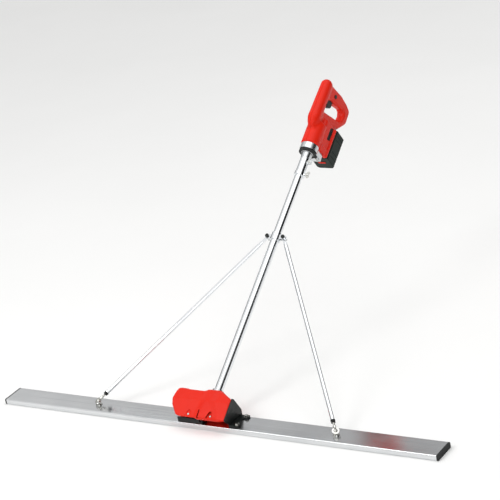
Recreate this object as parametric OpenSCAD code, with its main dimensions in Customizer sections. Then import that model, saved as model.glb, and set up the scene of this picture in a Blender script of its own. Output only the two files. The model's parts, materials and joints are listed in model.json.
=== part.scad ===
// Battery power screed: a vibrating blade, an exciter on top of it, a leaning
// pole braced by two struts, and a power head with a D-handle at the pole's end.
// Origin at the middle of the blade's sole, +X along the blade, +Y towards the
// operator, +Z up.  Millimetres.

/* [Blade] */
// Length of the blade
blade_l = 1830; // [1200:10:3000]
// Width of the blade, front to back
blade_w = 96; // [90:1:130]
// Thickness of the blade
blade_t = 21; // [16:1:30]
// Wall of the hollow blade section
blade_wall = 2.5; // [2:0.5:4]
// Radius on the long edges of the blade
blade_edge_r = 3; // [1:0.5:5]

/* [Pole] */
// Lean of the pole from upright, in degrees
lean = 55.5; // [45:0.5:62]
// Where the pole's centre line meets the top of the blade, front to back
pole_y = -49; // [-60:1:-40]
// Outside diameter of the pole
pole_d = 32; // [28:0.5:38]
// Wall of the pole
pole_wall = 2; // [1.5:0.5:3]
// Distance along the pole's line from the blade to the top of the pole
pole_top = 1126; // [900:1:1400]
// Diameter of the drive shaft inside the pole
shaft_d = 12; // [10:1:14]

/* [Struts] */
// Distance of the strut collar up the pole's line
collar_at = 783; // [600:1:900]
// Distance of each strut foot from the middle of the blade
foot_x = 505; // [350:1:560]
// Place of the strut feet, front to back
foot_y = 2; // [-6:1:6]
// Outside diameter of the strut tubes
strut_d = 16; // [13:0.5:20]
// Diameter of the threaded strut ends
rod_d = 8; // [6:0.5:9]

/* [Exciter] */
// Distance of the exciter axle up the pole's line
exciter_at = 70; // [66:1:74]
// Outside radius of the exciter drum
drum_r = 30; // [29:0.5:31]
// Radius of the eccentric weights
weight_r = 23; // [18:0.5:24]
// Diameter of the exciter axle
axle_d = 15; // [12:1:17]
// Wall of the red exciter cover
cover_wall = 3; // [2:0.5:3]

/* [Power head] */
// Radius of the lower barrel
barrel_r = 36; // [35:0.5:38]
// Half width of the D-handle grip
grip_half_w = 18; // [16:0.5:20]
// Travel of the trigger
trigger_travel = 6; // [4:0.5:7]
// Width of the battery pack
battery_w = 76; // [70:1:80]
// Length of the battery pack
battery_l = 128; // [120:1:134]

/* [Fits] */
// Radial clearance of a turning fit
run_clear = 0.05; // [0.02:0.01:0.1]
// Gap between parts that only pass each other
gap = 0.3; // [0.2:0.1:0.6]

/* [Hidden] */
$fn = 64;

RED = "#d8301f";
BLACK = "#1d2220";
STEEL = "#a9adb0";
CHROME = "#d9dcde";
ALU = "#b9bcbe";

pole_r = pole_d / 2;
strut_r = strut_d / 2;
rod_r = rod_d / 2;
axle_r = axle_d / 2;
shaft_r = shaft_d / 2;

// ---- shared frames --------------------------------------------------------

// The pole's own frame: Z up the pole, Y away from its upper face, X along the blade
module along_pole() {
    translate([0, pole_y, blade_t]) rotate([-lean, 0, 0]) children();
}

// Turns a child so that its Z runs along +X
module along_x() {
    rotate([0, 90, 0]) children();
}

// Turns a child so that its Z runs along +Y
module along_y() {
    rotate([-90, 0, 0]) children();
}

// A cylinder with a hole through it
module ring(r_out, r_in, h) {
    difference() {
        cylinder(r = r_out, h = h);
        translate([0, 0, -1]) cylinder(r = r_in, h = h + 2);
    }
}

// A prism along X from an outline of [across, up] points in the frame it is drawn in
module prism_x(points, x0, x1) {
    translate([x0, 0, 0])
        rotate([90, 0, 90])
            linear_extrude(height = x1 - x0) polygon(points);
}

// A box given by its lowest and highest corners
module block(low, high) {
    translate(low) cube([high[0] - low[0], high[1] - low[1], high[2] - low[2]]);
}

// A hexagon head or nut of a given width across flats
module hexagon(flats, h) {
    cylinder(r = flats / sqrt(3), h = h, $fn = 6);
}

// A ball bearing drawn as one closed ring with its two side grooves
module bearing(r_out, r_in, w) {
    groove = 0.8;
    mid = (r_out + r_in) / 2;
    band = (r_out - r_in) / 6;
    difference() {
        ring(r_out, r_in, w);
        for (z = [-1, w - groove])
            translate([0, 0, z]) ring(mid + band, mid - band, groove + 1);
    }
}

// A spur gear: a blank whose tooth gaps are cut in, so two blanks never overlap
module spur(r, h, teeth, bore) {
    depth = 1.4;
    gap_w = PI * r / teeth;
    difference() {
        ring(r, bore, h);
        for (i = [0:teeth - 1])
            rotate([0, 0, i * 360 / teeth])
                translate([r - depth, -gap_w / 2, -1]) cube([depth + 2, gap_w, h + 2]);
    }
}

// ---- blade ----------------------------------------------------------------

rib_y = blade_w / 6;
cavity_h = blade_t - 2 * blade_wall;
plug_t = 6;
plug_depth = 18;
board_l = blade_l - 2 * plug_t;
bracket_bolt_r = 4;
foot_bolt_r = 3;
bolt_slack = 0.2;
blind_l = 6;

// Holes on the blade: right flange, left bracket and the two strut feet
flange_x = 121;
flange_y = [-25, 37];
left_bolt_x = [-106, -30];
left_bolt_y = [-26, 26];
foot_places = [[-foot_x, foot_y], [foot_x, foot_y]];
bracket_places = concat([for (y = flange_y) [flange_x, y]],
    [for (x = left_bolt_x) for (y = left_bolt_y) [x, y]]);

// The blade's rounded outline in section, drawn [across, up]
module blade_outline(shrink = 0) {
    r = max(0.5, blade_edge_r - shrink);
    w = blade_w - 2 * shrink;
    h = blade_t - 2 * shrink;
    translate([0, blade_t / 2]) {
        square([w - 2 * r, h], center = true);
        square([w, h - 2 * r], center = true);
        for (i = [-1, 1]) for (j = [-1, 1])
            translate([i * (w / 2 - r), j * (h / 2 - r)]) circle(r);
    }
}

// One of the three chambers: its middle and its width across the blade
chambers = [[0, 2 * rib_y - blade_wall],
    [-1, blade_w / 2 - rib_y - 1.5 * blade_wall], [1, blade_w / 2 - rib_y - 1.5 * blade_wall]];
function chamber_mid(c) = c[0] * (rib_y + blade_wall / 2 + c[1] / 2);

module blade_board() {
    color(ALU) difference() {
        translate([-board_l / 2, 0, 0]) rotate([90, 0, 90])
            linear_extrude(height = board_l) difference() {
                blade_outline();
                for (c = chambers)
                    translate([chamber_mid(c), blade_t / 2]) square([c[1], cavity_h], center = true);
            }
        for (p = bracket_places)
            translate([p[0], p[1], blade_t - blade_wall - 1])
                cylinder(r = bracket_bolt_r + bolt_slack, h = blade_wall + 2);
        for (p = foot_places)
            translate([p[0], p[1], blade_t - blade_wall - 1])
                cylinder(r = foot_bolt_r + bolt_slack, h = blade_wall + 2);
    }
}

// Rubber plug that closes one end of the blade
module blade_plug(side) {
    color(BLACK) mirror([side < 0 ? 1 : 0, 0, 0]) {
        translate([board_l / 2, 0, 0]) rotate([90, 0, 90])
            linear_extrude(height = plug_t) blade_outline();
        for (c = chambers)
            translate([board_l / 2 - plug_depth / 2 + 0.5, chamber_mid(c), blade_t / 2])
                cube([plug_depth + 1, c[1] - 0.4, cavity_h - 0.4], center = true);
    }
}
module blade_plug_left() { blade_plug(-1); }
module blade_plug_right() { blade_plug(1); }

// ---- exciter placed on the blade ------------------------------------------

axle_y = pole_y + exciter_at * sin(lean);
axle_z = blade_t + exciter_at * cos(lean);
bracket_x = 90;
plate_t = 4;
foot_t = 5;
ear_r = 13;
drum_x0 = -124;
drum_wall = 4;
drum_bore = drum_r - drum_wall;
boss_r = 22;
bearing_r = 17.5;
bearing_w = 11;
bearing_x = 60;
screw_circle = 13;
cap_screw_r = 3;
cap_head_r = 5;
cap_head_h = 3;
cap_screw_l = 10;

// Straight bracket at the right end: an upright plate and a flange with two ears
module right_bracket() {
    top_s = 99;
    low_s = 12;
    face = 36;
    top_y = pole_y + top_s * sin(lean) - face * cos(lean);
    top_z = blade_t + top_s * cos(lean) + face * sin(lean);
    low_y = pole_y + low_s * sin(lean) - face * cos(lean);
    low_z = blade_t + low_s * cos(lean) + face * sin(lean);
    color(BLACK) difference() {
        union() {
            prism_x([[-31, blade_t], [low_y, low_z], [top_y, top_z], [top_y + 6, top_z - 4],
                [52, blade_t + 24], [52, blade_t + foot_t], [47, blade_t]], bracket_x, bracket_x + plate_t);
            block([bracket_x, -31, blade_t], [flange_x - 4, 47, blade_t + foot_t]);
            for (y = flange_y) {
                translate([flange_x, y, blade_t]) cylinder(r = ear_r, h = foot_t);
                block([bracket_x, y - ear_r + 3, blade_t], [flange_x, y + ear_r - 3, blade_t + foot_t]);
            }
        }
        for (y = flange_y)
            translate([flange_x, y, blade_t - 1]) cylinder(r = bracket_bolt_r + bolt_slack, h = foot_t + 2);
        for (a = [0:120:240])
            translate([bracket_x - 1, axle_y, axle_z]) along_x() rotate([0, 0, a])
                translate([screw_circle, 0, 0]) {
                    cylinder(r = cap_screw_r + bolt_slack, h = plate_t + 2);
                    translate([0, 0, plate_t + 1 - cap_head_h]) cylinder(r = cap_head_r + gap, h = plate_t);
                }
    }
}

post_y = [-10, 26];
post_xs = [[-92, -70], [-56, -40]];
left_plate = [[-120, -44], [-16, 44]];

// Channel bracket under the left half: a plate on the blade, an upstand in front
// and a lifting eye at the upstand's right end
module left_bracket() {
    upstand = 19;
    upstand_t = 4;
    eye_x = left_plate[1][0] - 8;
    eye_z = blade_t + 12;
    eye_out = 9;
    eye_hole = 5;
    color(BLACK) difference() {
        union() {
            block([left_plate[0][0], left_plate[0][1], blade_t],
                [left_plate[1][0], left_plate[1][1], blade_t + foot_t]);
            block([left_plate[0][0], left_plate[0][1], blade_t],
                [eye_x - 6, left_plate[0][1] + upstand_t, blade_t + upstand]);
            translate([eye_x, left_plate[0][1], eye_z]) along_y() cylinder(r = eye_out, h = upstand_t);
        }
        translate([eye_x, left_plate[0][1] - 1, eye_z]) along_y() cylinder(r = eye_hole, h = upstand_t + 1);
        for (x = left_bolt_x) for (y = left_bolt_y)
            translate([x, y, blade_t - 1]) cylinder(r = bracket_bolt_r + bolt_slack, h = foot_t + 2);
        for (x = post_xs)
            translate([(x[0] + x[1]) / 2, (post_y[0] + post_y[1]) / 2, blade_t - 1])
                cylinder(r = 3.2, h = foot_t + 2);
    }
}

// Hex bolts with washers and blind nuts that hold both brackets to the blade
module bracket_bolts() {
    top = blade_t + foot_t;
    below = foot_t + blade_wall + blind_l;
    washer_t = 1.6;
    color(STEEL) for (p = bracket_places)
        translate([p[0], p[1], top]) {
            cylinder(r = 8.5, h = washer_t);
            translate([0, 0, washer_t]) hexagon(13, 5.3);
            translate([0, 0, -below]) cylinder(r = bracket_bolt_r, h = below + 1);
            translate([0, 0, -below]) ring(6.5, bracket_bolt_r, blind_l);
        }
}

// Sunk cap screws that hold the right bracket to the casting
module bracket_screws() {
    color(BLACK) for (a = [0:120:240])
        translate([bracket_x, axle_y, axle_z]) along_x() rotate([0, 0, a])
            translate([screw_circle, 0, -cap_screw_l]) {
                cylinder(r = cap_screw_r, h = cap_screw_l + plate_t - 0.5);
                translate([0, 0, cap_screw_l + plate_t - cap_head_h])
                    cylinder(r = cap_head_r, h = cap_head_h);
            }
}

nose_r = 26;
nose_top = 138;
socket_at = 112;
input_at = exciter_at + 28;
input_r = 14;
input_w = 8;

// Cast body of the exciter: drum, gear chamber, right boss, pole socket and two posts
module exciter_casting() {
    color(ALU) difference() {
        union() {
            translate([drum_x0, axle_y, axle_z]) along_x() cylinder(r = drum_r, h = 56 - drum_x0);
            translate([50, axle_y, axle_z]) along_x() cylinder(r = boss_r, h = bracket_x - 50);
            along_pole() translate([0, 0, exciter_at]) cylinder(r = nose_r, h = socket_at - exciter_at);
            along_pole() translate([0, 0, exciter_at]) cylinder(r = pole_r + 6, h = nose_top - exciter_at);
            for (x = post_xs)
                block([x[0], post_y[0], blade_t + foot_t], [x[1], post_y[1], axle_z]);
        }
        translate([drum_x0 - 1, axle_y, axle_z]) along_x() cylinder(r = drum_bore, h = 50 - drum_x0 + 1);
        translate([49, axle_y, axle_z]) along_x() cylinder(r = axle_r + 3, h = bearing_x - 48);
        translate([bearing_x, axle_y, axle_z]) along_x() cylinder(r = bearing_r, h = bearing_w + 1);
        along_pole() translate([0, 0, exciter_at])
            cylinder(r = nose_r - drum_wall, h = input_at - exciter_at - 1);
        along_pole() translate([0, 0, exciter_at]) cylinder(r = input_r, h = input_at + input_w - exciter_at);
        along_pole() translate([0, 0, exciter_at]) cylinder(r = shaft_r + 2, h = socket_at - exciter_at + 1);
        along_pole() translate([0, 0, socket_at]) cylinder(r = pole_r + run_clear, h = nose_top);
        for (a = [0:120:240])
            translate([bracket_x - cap_screw_l - 0.5, axle_y, axle_z]) along_x() rotate([0, 0, a])
                translate([screw_circle, 0, 0]) cylinder(r = cap_screw_r, h = cap_screw_l + 2);
    }
}

// Cap that closes the drum's left end and carries the left bearing
cap_t = 5;
module exciter_end_cap() {
    color(ALU) translate([drum_x0, axle_y, axle_z]) along_x() difference() {
        union() {
            translate([0, 0, -cap_t]) cylinder(r = drum_r, h = cap_t);
            cylinder(r = drum_bore - run_clear, h = bearing_w + 2);
        }
        translate([0, 0, 2]) cylinder(r = bearing_r, h = bearing_w + 1);
        translate([0, 0, -1]) cylinder(r = axle_r + 1.5, h = 4);
        for (a = [0:90:270])
            rotate([0, 0, a + 45]) translate([drum_r - 3.2, 0, -cap_t - 1])
                cylinder(r = 1.6, h = cap_t + 1.5);
    }
}

left_bearing_x = drum_x0 + 2;
module exciter_bearings() {
    color(STEEL) for (x = [left_bearing_x, bearing_x])
        translate([x, axle_y, axle_z]) along_x() bearing(bearing_r, axle_r + run_clear, bearing_w);
}

module exciter_shaft() {
    x0 = left_bearing_x + 0.5;
    x1 = bearing_x + bearing_w - 0.5;
    color(STEEL) translate([x0, axle_y, axle_z]) along_x() cylinder(r = axle_r, h = x1 - x0);
}

// A half-round eccentric weight with its hub, hanging down, x0 to x1 along the axle
module weight(x0, x1) {
    color("#6f7376") translate([x0, axle_y, axle_z]) along_x() difference() {
        union() {
            difference() {
                cylinder(r = weight_r, h = x1 - x0);
                translate([-weight_r - 1, -weight_r - 1, -1])
                    cube([weight_r + 1, 2 * weight_r + 2, x1 - x0 + 2]);
            }
            cylinder(r = axle_r + 4, h = x1 - x0);
        }
        translate([0, 0, -1]) cylinder(r = axle_r, h = x1 - x0 + 2);
    }
}
module weight_left() { weight(-104, -68); }
module weight_right() { weight(-64, -28); }

bevel_back = 20;
bevel_front = 11;
// A mitre gear blank whose cone has its tip at the crossing of the two axes
module bevel(bore, hub) {
    slack = 0.4;
    difference() {
        union() {
            translate([0, 0, bevel_front])
                cylinder(r1 = bevel_front - slack, r2 = bevel_back - slack, h = bevel_back - bevel_front);
            translate([0, 0, bevel_back - 0.01]) cylinder(r = hub, h = 6);
        }
        translate([0, 0, bevel_front - 1]) cylinder(r = bore, h = 20);
        for (i = [0:17])
            rotate([0, 0, i * 20]) translate([0, 0, bevel_back]) rotate([0, -45, 0])
                translate([-22, -1, 13]) cube([60, 2, 3]);
    }
}
module driven_bevel() {
    color(STEEL) translate([0, axle_y, axle_z]) along_x() bevel(axle_r, 12);
}
module pinion_bevel() {
    color(STEEL) along_pole() translate([0, 0, exciter_at]) bevel(shaft_r, 9);
}

module input_bearing() {
    color(STEEL) along_pole() translate([0, 0, input_at]) bearing(input_r, shaft_r + run_clear, input_w);
}

// ---- red cover of the exciter ---------------------------------------------

// Outline seen square to the upper face, [along the blade, up the pole]
cover_face = [[-106, 8], [-122, 18], [-148, 54], [-154, 75], [-152, 108], [-146, 125], [-140, 130],
    [-114, 130], [-106, 124], [-24, 124], [-14, 131], [32, 131], [44, 122], [62, 112], [bracket_x, 96],
    [bracket_x, 9]];
// Side profile, [away from the upper face, up the pole]: flat above, and beneath it
// slopes back from the front edge to run level just over the blade
cover_face_n = -36;
cover_back_n = 38;
cover_lift = 4.5;
cover_side = [[cover_face_n, 13], [cover_face_n + 3, 10], [18, 37.5],
    [cover_back_n, (cover_back_n * sin(lean) + cover_lift) / cos(lean)], [cover_back_n, 118],
    [cover_back_n - 8, 132], [cover_face_n + 12, 132], [cover_face_n, 118]];

// Solid of the cover, shrunk by a wall
module cover_solid(shrink) {
    intersection() {
        translate([0, 60, 0]) rotate([90, 0, 0])
            linear_extrude(height = 120) offset(delta = -shrink) polygon(cover_face);
        translate([-200, 0, 0]) rotate([90, 0, 90])
            linear_extrude(height = 400) offset(delta = -shrink) polygon(cover_side);
    }
}

cover_split = 6;
cover_screw_xs = [-66, 27];
cover_screw_s = 23;
cover_screw_r = 2.1;
// Three-cornered pockets that the cover screws sit in, and a slot beside them
pocket_deep = 5;
pocket_outline = [[-15, 14], [15, 14], [3, 37], [-3, 37]];
slot_x = -23;
slot_half = 2.5;
slot_top = 42;
bolt_room = 8;

// A pocket's outline, drawn away from the face between two depths
module cover_pocket(x, grow, n0, n1) {
    translate([x, n1, 0]) rotate([90, 0, 0])
        linear_extrude(height = n1 - n0) offset(delta = grow) polygon(pocket_outline);
}

// The two shells share this body; what passes through it is cut away
module cover_body() {
    difference() {
        along_pole() difference() {
            cover_solid(0);
            cover_solid(cover_wall);
            translate([0, 0, 100]) cylinder(r = pole_r + 6 + gap, h = 60);
            for (x = cover_screw_xs)
                cover_pocket(x, 0, cover_face_n - 1, cover_face_n + pocket_deep);
            block([slot_x - slot_half, cover_face_n - 1, 0],
                [slot_x + slot_half, cover_face_n + 2 * cover_wall, slot_top]);
        }
        block([left_plate[0][0] - gap, left_plate[0][1] - gap, blade_t],
            [left_plate[1][0] + gap, left_plate[1][1] + gap, blade_t + foot_t + bolt_room]);
        for (x = post_xs)
            block([x[0] - gap, post_y[0] - gap, blade_t], [x[1] + gap, post_y[1] + gap, axle_z]);
        translate([80, axle_y, axle_z]) along_x() cylinder(r = boss_r + gap, h = 20);
    }
}
module cover_front() {
    color(RED) {
        intersection() {
            cover_body();
            along_pole() block([-200, cover_face_n - 1, -50], [200, cover_split - 0.05, 200]);
        }
        along_pole() intersection() {
            cover_solid(0);
            for (x = cover_screw_xs) difference() {
                union() {
                    cover_pocket(x, cover_wall, cover_face_n + 0.2, cover_face_n + pocket_deep + cover_wall);
                    translate([x, cover_face_n + pocket_deep + 1, cover_screw_s]) along_y()
                        cylinder(r = 4.5, h = 11);
                }
                cover_pocket(x, 0, cover_face_n - 1, cover_face_n + pocket_deep);
                translate([x, cover_face_n, cover_screw_s]) along_y() cylinder(r = cover_screw_r, h = 20);
            }
        }
    }
}
module cover_rear() {
    color(RED) intersection() {
        cover_body();
        along_pole() block([-200, cover_split + 0.05, -50], [200, 90, 200]);
    }
}

// Pan-head screws in the cover's face
module cover_screws() {
    color(CHROME) along_pole() for (x = cover_screw_xs)
        translate([x, cover_face_n + pocket_deep, cover_screw_s]) along_y() {
            translate([0, 0, -2.5]) cylinder(r = 4.6, h = 2.5);
            cylinder(r = cover_screw_r, h = 11);
        }
}

// ---- pole -----------------------------------------------------------------

module pole_tube() {
    color(CHROME) along_pole() translate([0, 0, socket_at])
        ring(pole_r, pole_r - pole_wall, pole_top - socket_at);
}

bush_places = [180, 440, 700, 960, pole_top - 14];
module shaft_bushes() {
    color("#e6e4da") along_pole() for (s = bush_places)
        translate([0, 0, s]) ring(pole_r - pole_wall, shaft_r + run_clear, 12);
}

// Long shaft from the pinion to the spindle, with a square tip in the spindle's socket
shaft_tip = pole_top + 14;
square_a = 7;
module drive_shaft() {
    color(STEEL) along_pole() {
        translate([0, 0, exciter_at + bevel_front + 0.5])
            cylinder(r = shaft_r, h = pole_top + 2 - exciter_at - bevel_front - 0.5);
        translate([-square_a / 2, -square_a / 2, pole_top + 1])
            cube([square_a, square_a, shaft_tip - pole_top - 1]);
    }
}

// ---- struts ---------------------------------------------------------------

collar_r = pole_r + 4;
lug_r = 9;
collar_h = 30;
ear_x = 34;
ear_t = 5;
ear_gap = 7;
tab_t = 4.6;
ball_z = blade_t + 14;
ball_r = 8;
ball_flat = 7;
spacer_t = 4;

// Foot ball in the pole's frame: [x, away from upper face, up the pole]
foot_dy = foot_y - pole_y;
foot_dz = ball_z - blade_t;
foot_n = foot_dy * cos(lean) - foot_dz * sin(lean);
foot_s = foot_dy * sin(lean) + foot_dz * cos(lean);
strut_dx = foot_x - ear_x;
strut_l = norm([strut_dx, foot_n, collar_at - foot_s]);
strut_tilt = acos((collar_at - foot_s) / strut_l);

// A strut's own frame, worked out on the left and mirrored to the right:
// Z from the foot ball to the collar pin
strut_turn = atan2(-foot_n, strut_dx);
module along_strut(side) {
    mirror([side > 0 ? 1 : 0, 0, 0]) along_pole() translate([-foot_x, foot_n, foot_s])
        rotate([0, strut_tilt, strut_turn]) children();
}

tube_z0 = 46;
tube_z1 = strut_l - 44;
tube_end = 22;
strut_wall = 1.5;
module strut_collar(half) {
    color("#2b2f31") along_pole() translate([0, 0, collar_at - collar_h / 2]) difference() {
        intersection() {
            union() {
                cylinder(r = collar_r, h = collar_h);
                for (x = [-1, 1]) {
                    translate([x * ear_x, half * (ear_gap / 2), collar_h / 2])
                        rotate([-90 * half, 0, 0]) cylinder(r = lug_r, h = ear_t);
                    translate([x * ear_x / 2, half * (ear_gap + ear_t) / 2, collar_h / 2])
                        cube([ear_x, ear_t, 2 * lug_r], center = true);
                }
            }
            translate([-60, half > 0 ? 0.5 : -60.5, -1]) cube([120, 60, collar_h + 2]);
        }
        translate([0, 0, -1]) cylinder(r = pole_r + run_clear, h = collar_h + 2);
        for (x = [-1, 1])
            translate([x * ear_x, -30, collar_h / 2]) along_y() cylinder(r = rod_r + 0.1, h = 60);
    }
}
module strut_collar_front() { strut_collar(-1); }
module strut_collar_rear() { strut_collar(1); }

module collar_bolts() {
    half = ear_gap / 2 + ear_t;
    color(STEEL) along_pole() for (x = [-1, 1])
        translate([x * ear_x, 0, collar_at]) along_y() {
            translate([0, 0, -half - 5]) hexagon(13, 5);
            translate([0, 0, -half - 1]) cylinder(r = rod_r, h = 2 * half + 9);
            translate([0, 0, half]) hexagon(13, 6.5);
        }
}

// Flat forged end that sits between the collar's ears, with a threaded shank
module strut_tab(side) {
    color(CHROME) along_strut(side) difference() {
        union() {
            intersection() {
                union() {
                    translate([0, 0, strut_l]) along_y()
                        translate([0, 0, -tab_t / 2]) cylinder(r = 10, h = tab_t);
                    translate([-7, -tab_t / 2, strut_l - 34]) cube([14, tab_t, 34]);
                }
                translate([-20, -20, strut_l - 34]) cube([40, 40, 60]);
            }
            translate([0, 0, tube_z1 - tube_end - 6])
                cylinder(r = rod_r, h = strut_l - tube_z1 + tube_end - 20);
            translate([0, 0, tube_z1 + 1]) cylinder(r = 6.8, h = strut_l - tube_z1 - 32);
        }
        translate([0, -20, strut_l]) along_y() cylinder(r = rod_r + 0.1, h = 40);
    }
}
module strut_tab_left() { strut_tab(-1); }
module strut_tab_right() { strut_tab(1); }

// Tube with a threaded bush in each end, turned to take up the strut's length
module strut_tube(side) {
    color(CHROME) along_strut(side) difference() {
        translate([0, 0, tube_z0]) cylinder(r = strut_r, h = tube_z1 - tube_z0);
        translate([0, 0, tube_z0 - 1]) cylinder(r = rod_r + run_clear, h = tube_z1 - tube_z0 + 2);
        translate([0, 0, tube_z0 + tube_end])
            cylinder(r = strut_r - strut_wall, h = tube_z1 - tube_z0 - 2 * tube_end);
    }
}
module strut_tube_left() { strut_tube(-1); }
module strut_tube_right() { strut_tube(1); }

// Upright seen across the strut, which is where the axis of its eye points
world_up = [0, -sin(lean), cos(lean)];
across_x = [cos(strut_tilt) * cos(strut_turn), cos(strut_tilt) * sin(strut_turn), -sin(strut_tilt)];
across_y = [-sin(strut_turn), cos(strut_turn), 0];
eye_angle = atan2(world_up * across_y, world_up * across_x);

eye_r = 13;
eye_half = 3.3;
neck_r = 6;
// Threaded rod with an eye round the foot ball
module strut_rod(side) {
    color(STEEL) along_strut(side) rotate([0, 0, eye_angle]) difference() {
        union() {
            translate([-eye_half, 0, 0]) along_x() cylinder(r = eye_r, h = 2 * eye_half);
            translate([0, 0, eye_r - 3]) cylinder(r = rod_r, h = tube_z0 + tube_end + 9 - eye_r);
            translate([0, 0, eye_r - 2]) cylinder(r = neck_r, h = 10);
        }
        sphere(r = ball_r + run_clear);
    }
}
module strut_rod_left() { strut_rod(-1); }
module strut_rod_right() { strut_rod(1); }

module lock_nuts() {
    color(BLACK) for (side = [-1, 1]) along_strut(side)
        translate([0, 0, tube_z0 - 11.5]) difference() {
            union() {
                hexagon(14, 7);
                translate([0, 0, 7]) cylinder(r = strut_r + 0.4, h = 4);
            }
            translate([0, 0, -1]) cylinder(r = rod_r, h = 20);
        }
}

// Ball on a spacer that stands on the blade
module foot_ball(side) {
    color(STEEL) translate([side * foot_x, foot_y, 0]) difference() {
        union() {
            translate([0, 0, ball_z]) sphere(r = ball_r);
            translate([0, 0, blade_t + spacer_t - 1])
                cylinder(r = foot_bolt_r + 1.2, h = ball_z - blade_t - spacer_t + 1);
            translate([0, 0, blade_t]) cylinder(r = 12, h = spacer_t);
        }
        translate([0, 0, blade_t - 1]) cylinder(r = foot_bolt_r, h = ball_z - blade_t + ball_r + 2);
        translate([0, 0, ball_z + ball_flat]) cylinder(r = ball_r, h = ball_r);
    }
}
module foot_ball_left() { foot_ball(-1); }
module foot_ball_right() { foot_ball(1); }

module foot_bolts() {
    color(CHROME) for (side = [-1, 1]) translate([side * foot_x, foot_y, 0]) {
        low = blade_t - blade_wall - blind_l;
        translate([0, 0, ball_z + ball_flat]) hexagon(8, 3.5);
        translate([0, 0, low]) cylinder(r = foot_bolt_r, h = ball_z + ball_flat + 1 - low);
        translate([0, 0, low]) ring(5.5, foot_bolt_r, blind_l);
    }
}

// ---- sleeve between the pole and the power head ---------------------------

sleeve_wall = 3;
sleeve_r = pole_r + sleeve_wall;
sleeve_l = 62;
sleeve_top = pole_top + 4;
sleeve_low = sleeve_top - sleeve_l;
lug_x = sleeve_r + 12;
lug_s = sleeve_top - 14;

module pole_sleeve() {
    color(CHROME) along_pole() difference() {
        union() {
            translate([0, 0, sleeve_low]) cylinder(r = sleeve_r, h = sleeve_l);
            block([0, -6, lug_s - 7], [lug_x, 6, lug_s + 7]);
        }
        translate([0, 0, sleeve_low - 1]) cylinder(r = pole_r + run_clear, h = sleeve_l + 2);
        block([-1, -1, sleeve_low + 12], [lug_x + 1, 1, sleeve_top + 1]);
        translate([lug_x - 6, -20, lug_s]) along_y() cylinder(r = 2.6, h = 40);
    }
}

// Pinch screw of the sleeve's lug
module sleeve_bolt() {
    color(STEEL) along_pole() translate([lug_x - 6, 0, lug_s]) along_y() {
        translate([0, 0, -6]) cylinder(r = 2.5, h = 12);
        translate([0, 0, -10]) cylinder(r = 4.2, h = 4);
        translate([0, 0, 6]) hexagon(8, 4);
    }
}

// Dark clamp ring at the sleeve's lower end with a boss for the thumb screw
ring_h = 14;
module sleeve_ring() {
    color("#303436") along_pole() difference() {
        union() {
            translate([0, 0, sleeve_low - ring_h]) cylinder(r = sleeve_r + 2, h = ring_h);
            translate([0, 0, sleeve_low - ring_h / 2]) along_x() cylinder(r = 6.5, h = sleeve_r + 8);
        }
        translate([0, 0, sleeve_low - ring_h - 1]) cylinder(r = pole_r + run_clear, h = ring_h + 2);
        translate([pole_r - 3, 0, sleeve_low - ring_h / 2]) along_x() cylinder(r = 3 + run_clear, h = 40);
    }
}

module thumb_screw() {
    color(STEEL) along_pole() translate([pole_r + 0.4, 0, sleeve_low - ring_h / 2]) along_x() {
        cylinder(r = 3, h = sleeve_wall + 16);
        translate([0, 0, sleeve_wall + 9]) cylinder(r = 5, h = 5);
        translate([0, 0, sleeve_wall + 15]) {
            for (a = [0, 180]) rotate([0, 0, a])
                translate([8, 0, 2]) rotate([90, 0, 0]) translate([0, 0, -1.75]) cylinder(r = 6, h = 3.5);
            cylinder(r = 4.5, h = 5);
        }
    }
}

// ---- gearcase of the power head -------------------------------------------

nose_s = sleeve_top;
flange_s = nose_s + 25;
gasket_s = flange_s + 4;
gasket_t = 6;
body_s = gasket_s + gasket_t;
body_t = 24;
shell_s = body_s + body_t;
case_r = barrel_r - 1;
idler_n = 22;
motor_n = 48;
spindle_gear_r = 14;
idler_small_r = idler_n - spindle_gear_r;
idler_big_r = 18;
motor_pinion_r = motor_n - idler_n - idler_big_r;
mesh = 0.2;
case_w = 27;
case_n = 67;

module gearcase_nose() {
    color(ALU) along_pole() difference() {
        union() {
            translate([0, 0, nose_s]) cylinder(r1 = sleeve_r, r2 = sleeve_r + 3, h = flange_s - nose_s);
            translate([0, 0, flange_s]) cylinder(r = case_r - 1, h = gasket_s - flange_s);
        }
        translate([0, 0, nose_s - 1]) cylinder(r = 10, h = 60);
        translate([0, 0, gasket_s - 10]) cylinder(r = input_r, h = 20);
        translate([0, idler_n, flange_s]) cylinder(r = 2 + run_clear, h = 20);
    }
}

module gearcase_gasket() {
    color(BLACK) along_pole() translate([0, 0, gasket_s]) difference() {
        cylinder(r = case_r - 2, h = gasket_t);
        translate([0, 0, -1]) cylinder(r = spindle_gear_r + 2, h = gasket_t + 2);
        translate([0, idler_n, -1]) cylinder(r = idler_small_r + 2, h = gasket_t + 2);
    }
}

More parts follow.
